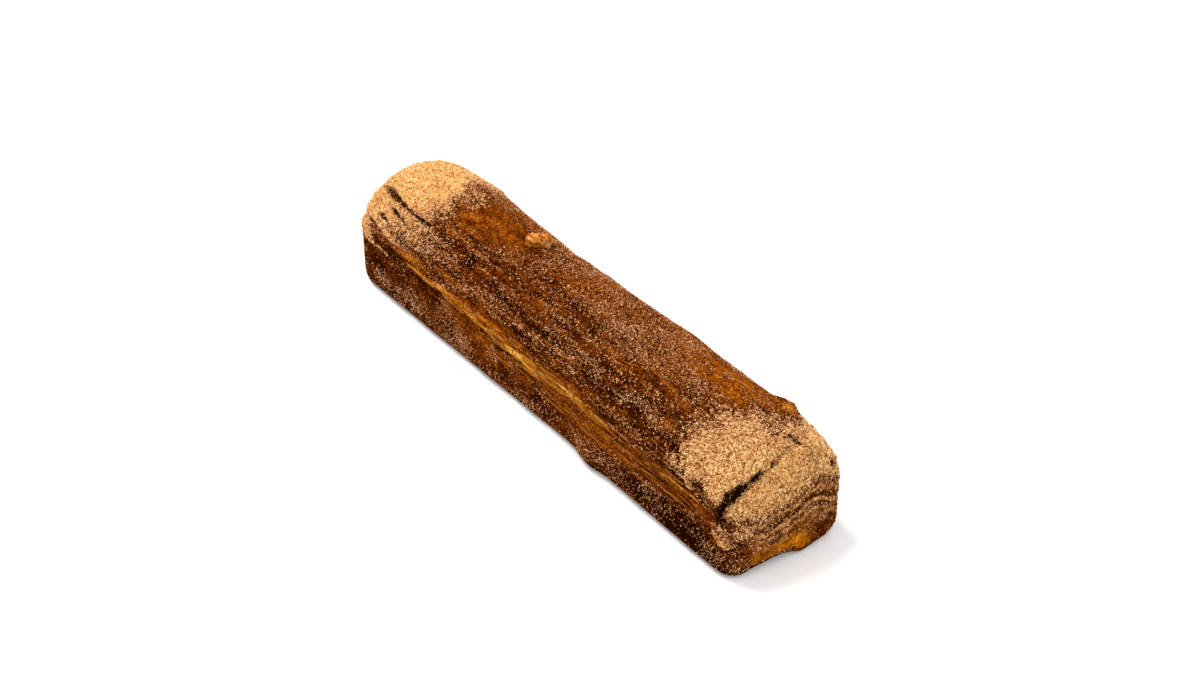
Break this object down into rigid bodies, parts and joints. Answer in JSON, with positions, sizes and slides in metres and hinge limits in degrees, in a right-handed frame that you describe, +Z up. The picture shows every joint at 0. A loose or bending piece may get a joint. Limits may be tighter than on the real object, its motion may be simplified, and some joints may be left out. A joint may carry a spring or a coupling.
{
  "type": "croissant bar",
  "caption": "Long bar-shaped croissant of laminated dough, baked in a square-sided tin, with a domed top, a split near one end and a coat of sugar.",
  "frame": {"origin": "under the middle of the bar's box, on the surface it rests on", "axes": "+X along the bar, towards the end with the open split; the side at -Y is the front; +Z up"},
  "size_m": [0.24, 0.0536, 0.0488],
  "materials": {
    "crust": "browned, flaky baked crust, dry and slightly glossy where bare",
    "sugar": "fine cinnamon sugar, matte powder with glinting grains",
    "flake": "thin amber pastry flake, satin"
  },
  "bodies": {
    "root": {"croissant": "crust"}
  },
  "joints": []
}
